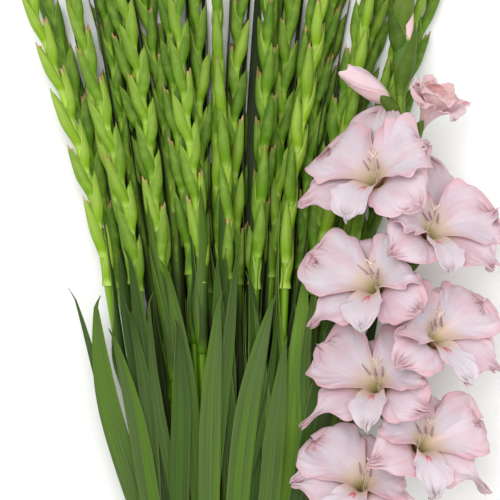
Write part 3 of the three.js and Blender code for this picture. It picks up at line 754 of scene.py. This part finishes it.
def floret(name, rng):
    """An open floret: six ruffled tepals, three stamens and a style with three branches. The
    hood of the two highest is free; what lies under the florets above is short and rolled back."""
    flower = floret_frame(name)
    foot, facing, lobe, size = flower
    piece = Piece()
    spin = math.radians(rng.normal(0, 6))
    place = int(name[-1])
    free = place <= 2
    fingered = 240 if place % 2 == 0 else 120
    tucked = 62 if place % 2 == 0 else 298 if place > 1 else None
    drawn_out = rng.choice([1.0, 0.6, 0.3])
    for turn, long, wide, front, channel, pinch, curl in TEPALS:
        hood, lip = turn == 0, turn == 180
        if hood:
            long, curl = (1.4, 0.02) if free else (1.0, 0.36)
        elif turn == tucked:
            long, curl = 0.84, 0.32
        tepal(
            piece, flower, spin + math.radians(turn + rng.normal(0, 4)),
            long * rng.uniform(0.94, 1.06), wide * rng.uniform(0.92, 1.08), front, rng,
            channel=channel, pinch=pinch * rng.uniform(0.3, 1.2), mark=lip,
            curl=curl * (rng.uniform(0.8, 1.2) if hood else rng.uniform(0.0, 1.8)),
            white=0.4 if lip else 0.0, ruffle=rng.uniform(0.8, 1.3),
            finger=drawn_out * (turn == fingered),
        )
    side = np.cross(facing, lobe)

    def spot(up, across, high):
        return foot + size * (lobe * up + side * across + facing * high)

    for k in (-1, 0, 1):
        apart, lean = 0.10 * k + rng.normal(0, 0.015), rng.normal(0, 0.03)
        end = spot(0.19 - 0.03 * abs(k) + lean, apart, 0.72)
        tip = spot(0.26 + lean, 1.5 * apart + 0.06 + lean, 0.80)
        filament = [spot(0.03, 0.01 * k, 0.3), spot(0.11, 0.04 * k, 0.56), end]
        thread(piece, filament, FILAMENT, "style")
        thread(piece, [end - 0.3 * (tip - end), end, tip], ANTHER, "anther")
    fork = spot(0.27, -0.02, 0.82)
    thread(piece, [spot(0, 0, 0.3), spot(0.13, 0.0, 0.58), fork], FILAMENT, "style")
    for k in (-1, 0, 1):
        branch = [fork, spot(0.31, 0.04 * k - 0.02, 0.87), spot(0.33, 0.08 * k - 0.02, 0.9)]
        thread(piece, branch, STYLE_BRANCH, "style")
    return piece.finish("open_" + name, "petal", LOOKS, [name])


# ---------------------------------------------------------------- the stem in flower

FLOWER_STALK = (5.5 * MM, 4.6 * MM, 1.6 * MM)  # radius at foot, lowest green bud, tip
TOP_BUDS = 9  # green buds above the florets
FLORETS = 7
# how far the half-open bud turns up and along the bunch, from the way its solid points
MOUTH_TILT = np.array([-0.3, 0.55, 0.22])


def nearest_on(axis, start, end, point):
    """The place on a line that is nearest a point."""
    y = np.linspace(start, end, 400)
    p = axis(y)
    return p[np.argmin(np.linalg.norm(p - point, axis=1))]


def bud_axis(name, stem):
    """A pink bud's foot, which is nearest the stem, the way it points, and its length."""
    co = corners(name)
    gap = np.linalg.norm(co[:, None] - stem[None], axis=2).min(1)
    foot = co[np.argmin(gap)]
    ahead = unit(co.mean(0) - foot)
    reach = ((co - foot) @ ahead).max()
    return foot, ahead, reach


def spathe(piece, base, tip, radius, tone, spread=1.3):
    """The pair of green bracts that hold a bud or a floret's tube: they clasp it, then leave it
    with a point each. spread is how far out the points lie, in radii."""
    ahead = unit(tip - base)
    length = float(np.linalg.norm(tip - base))
    out = unit(np.cross(ahead, [0, 0, 1.0]))
    up = np.cross(out, ahead)
    n, m = 26, 17
    v = np.linspace(0, 1, n)[:, None]
    u = np.linspace(-1, 1, m)[None, :]
    for way, share, slim in ((1, 1.0, 1.0), (-1, 0.82, 0.92)):
        stations = [0, 0.16, 0.42, 0.72, 0.9, 1]
        arc = glide(v, stations, [0.5, 0.82, 1.0, 0.74, 0.36, 0.03]) * radius * slim
        far = [0.5, 0.85, 1.08, 0.5 + 0.5 * spread, 0.2 + 0.8 * spread, spread]
        keel = glide(v, stations, far) * radius * slim
        wrap = np.radians(glide(v, [0, 0.4, 1], [176, 128, 100]))
        grid = (
            base
            + ahead * (length * share * v)[..., None]
            + way * up * (keel - arc * (1 - np.cos(wrap * u)))[..., None]
            + out * (arc * np.sin(wrap * u))[..., None]
        )
        grid[..., 2] = np.maximum(grid[..., 2], 0.6 * MM)
        piece.sheet(grid, 0.6 * MM, "dark_bract", tone)


def flower_stem(rng):
    """The stem in flower: its stalk, the closed buds above the florets, and the bracts that hold
    each floret and pink bud."""
    name = "flower_stem"
    axis, y, low, high = stem_axis(rings(name))
    tip = len(y) - 1
    first = tip - TOP_BUDS
    piece = Piece()

    def radius_at(at):
        return np.interp(at, [y[0], y[first], y[tip]], FLOWER_STALK)

    stalk(piece, axis, y[0], y[tip] - 8 * MM, radius_at, 0.4, 120, "dark_stalk")
    for k in range(first, tip):
        side = 0.0 if high[k] > low[k] else math.pi
        share = (k - first) / (TOP_BUDS - 1)
        length = glide(share, [0, 0.5, 1], [74, 64, 40]) * MM
        full = glide(share, [0, 0.5, 1], [10.5, 9.5, 6.0]) * MM
        azimuth = side + math.radians(rng.normal(0, 12))
        pink = k <= first + 1 and side == 0
        bract(piece, axis, y[k] - 0.5 * length, length, azimuth, max(high[k], low[k]) * 1.02,
              float(radius_at(y[k])), full, rng.uniform(0.1, 0.6), 0.0, look="dark_bract",
              bud="bud" if pink else "dark_bract", showing=0.3 if pink else 0.0)
    for i in range(1, FLORETS + 1):
        foot, facing, _, size = floret_frame(f"floret_{i}")
        root = nearest_on(axis, y[0], y[tip], foot - 6 * MM * facing - np.array([0, 18 * MM, 0]))
        spathe(piece, root, foot + 0.4 * size * facing, 9.5 * MM, rng.uniform(0.1, 0.5))
    line = axis(np.linspace(y[0], y[tip], 400))
    for bud, tilt, reach, radius, spread in (
        ("opening_bud", MOUTH_TILT, 30, 8.5, 1.1), ("furled_bud", np.zeros(3), 16, 6.2, 1.75),
    ):
        foot, ahead, _ = bud_axis(bud, line)
        root = nearest_on(axis, y[0], y[tip], foot - np.array([0, 14 * MM, 0]))
        spathe(piece, root, foot + reach * MM * unit(ahead + tilt), radius * MM, 0.4, spread)
    return piece.finish("stem_in_flower", "green_stem", LOOKS, [name])


def furled_bud(stem, rng):
    """A bud still rolled up: three petals wound round each other into a blunt cone."""
    foot, ahead, reach = bud_axis("furled_bud", stem)
    out = unit(np.cross(ahead, [0, 0, 1.0]))
    up = np.cross(out, ahead)
    piece = Piece()
    n, m = 40, 33
    v = np.linspace(0, 1, n)[:, None]
    u = np.linspace(-1, 1, m)[None, :]
    for k in range(3):
        start = k * 2 * math.pi / 3 + 0.6
        radius = glide(v, [0, 0.2, 0.5, 0.78, 0.9, 1], [3.6, 8.4, 11.4, 11.2, 10.6, 10.2]) * MM
        angle = start + u * 1.75 + 1.2 * v
        flare = 0.14 * smooth(u, -0.7, -1.0) * smooth(v, 0.35, 0.9)
        spiral = 1 - 0.12 * (u + 1) * 0.5 + flare + 0.02 * np.sin(9 * u + 5 * v + k)
        r = radius * spiral - 0.9 * MM * smooth(v, 0.3, 1.0) * (u + 1)
        top = (1.0, 0.84, 0.94)[k] - 0.16 * np.abs(u - 0.2) ** 2 + 0.03 * np.sin(8 * u + 2 * k) * v
        grid = (
            foot
            + ahead * (reach * v * top)[..., None]
            + out * (r * np.cos(angle))[..., None]
            + up * (r * np.sin(angle))[..., None]
        )
        piece.sheet(grid, 0.6 * MM, "bud", rng.uniform(0, 1))
    return piece.finish("rolled_pink_bud", "petal", LOOKS, ["furled_bud"])


def opening_bud(stem, rng):
    """A bud that is half open: a ruffled cup, its inner tepals still folded together."""
    foot, ahead, reach = bud_axis("opening_bud", stem)
    mouth = unit(ahead + MOUTH_TILT)
    lobe = unit(np.cross(mouth, [1.0, -0.6, 0]))
    flower = (foot + 3 * MM * ahead, mouth, lobe, reach * 0.62)
    piece = Piece()
    for turn, opening, long, wide, deep in (
        (10, 0.62, 1.15, 1.2, 0.0), (130, 0.56, 1.0, 1.2, 0.1), (250, 0.62, 1.1, 1.25, 0.0),
        (70, 0.40, 1.0, 1.1, 0.1), (190, 0.36, 0.96, 1.1, 0.2), (310, 0.40, 1.0, 1.1, 0.1),
        (40, 0.14, 0.86, 0.9, 0.6), (200, 0.20, 0.84, 0.9, 0.6),
    ):
        tepal(
            piece, flower, math.radians(turn + rng.normal(0, 6)), long, wide,
            float(turn in (70, 190, 310)), rng, ruffle=rng.uniform(0.5, 0.8), curl=0.16 * opening,
            opening=opening, look="bud", tall=1.5 + 0.15 * (0.7 - opening), deep=deep,
        )
    return piece.finish("half_open_bud", "petal", LOOKS, ["opening_bud"])


def under_leaves(rng):
    """Long leaves low in the bunch, between the stems of the two lowest layers."""
    for layer, count in ((1, 8), (2, 9)):
        lines = [stem_axis(rings(f"green_stem_{layer}_{i}"))[0] for i in range(1, count + 1)]
        for i in range(layer % 2, count - 2):
            piece = Piece()
            at = np.linspace(-0.2 + rng.uniform(0, 0.04), rng.uniform(0.24, 0.38), 60)
            middle = 0.5 * (lines[i](at) + lines[i + 1](at))
            middle[:, 0] += rng.normal(0, 3) * MM
            middle[:, 2] -= 2 * MM
            right = np.broadcast_to([1.0, 0, rng.uniform(-0.2, 0.2)], middle.shape)
            lop = rng.choice([-1, 1]) * rng.uniform(0.2, 0.8)
            # painted shade: these leaves take the darkened leaf green, for their place under the upper
            # layers
            blade(piece, middle, unit(right), rng.uniform(8, 10.5) * MM, rng.uniform(0, 1), rng,
                  lop, 0.0, rng.uniform(-0.4, 0.4), "deep_leaf")
            piece.finish(f"low_leaf_{layer}_{i}", "leaf", LOOKS)


# ---------------------------------------------------------------- building the bunch

# each piece has its own seed, so that a change to one leaves the others as they are
for node in sorted(nodes):
    seed = sum((i + 3) * ord(c) * 7 for i, c in enumerate(node))
    rng = np.random.default_rng(seed)
    if node.startswith("green_stem"):
        green_stem(node, rng)
    elif node.startswith("leaf"):
        leaf(node, rng)
    elif node.startswith("floret"):
        floret(node, rng)
stem_line, stem_y, _, _ = stem_axis(rings("flower_stem"))
stem_points = stem_line(np.linspace(stem_y[0], stem_y[-1], 300))
flower_stem(np.random.default_rng(11))
furled_bud(stem_points, np.random.default_rng(12))
opening_bud(stem_points, np.random.default_rng(13))
under_leaves(np.random.default_rng(14))
band = nodes["rubber_band"]
band.data.materials.clear()
band.data.materials.append(LOOKS["rubber"])

# ---------------------------------------------------------------- floor, light and camera

FLOOR_REACH, FLOOR_HEIGHT = 4, -0.0002
floor_corners = [(x * FLOOR_REACH, y * FLOOR_REACH, FLOOR_HEIGHT)
                 for x, y in ((-1, -1), (1, -1), (1, 1), (-1, 1))]
floor_mesh = bpy.data.meshes.new("floor")
floor_mesh.from_pydata(floor_corners, [], [(0, 1, 2, 3)])
floor = bpy.data.objects.new("floor", floor_mesh)
bpy.context.scene.collection.objects.link(floor)
floor_look = Shader("floor_white", 0.9, 0.1)
floor_colour = floor_look.mix(floor_look.spots(0.4), (250, 250, 249), (247, 247, 246))
floor_mesh.materials.append(floor_look.finish(floor_colour))

world = bpy.data.worlds.new("studio")
world.use_nodes = True
world.node_tree.nodes["Background"].inputs[0].default_value = (1.0, 1.0, 1.0, 1.0)
world.node_tree.nodes["Background"].inputs[1].default_value = 0.68
bpy.context.scene.world = world


def soft_light(name, place, aim, size, power):
    """A square soft box of that width, aimed at a place."""
    data = bpy.data.lights.new(name, "AREA")
    data.shape = "SQUARE"
    data.size = size
    data.energy = power
    light = bpy.data.objects.new(name, data)
    bpy.context.scene.collection.objects.link(light)
    ray = unit(np.asarray(aim, float) - np.asarray(place, float))
    light.rotation_euler = Vector(ray).to_track_quat("-Z", "Y").to_euler()
    light.location = place


soft_light("key", (-0.4, 0.6, 2.2), (0.0, 0.0, 0.0), 1.2, 32)
soft_light("fill", (0.9, -0.5, 2.0), (0.0, 0.0, 0.0), 1.6, 14)

# the camera looks straight down on the bunch
camera_data = bpy.data.cameras.new("camera")
camera_data.lens = 136.8
camera_data.sensor_width = 36
camera = bpy.data.objects.new("camera", camera_data)
camera.location = (0.0100, 0.0625, 1.965)
bpy.context.scene.collection.objects.link(camera)
bpy.context.scene.camera = camera
bpy.context.scene.view_settings.view_transform = "Standard"
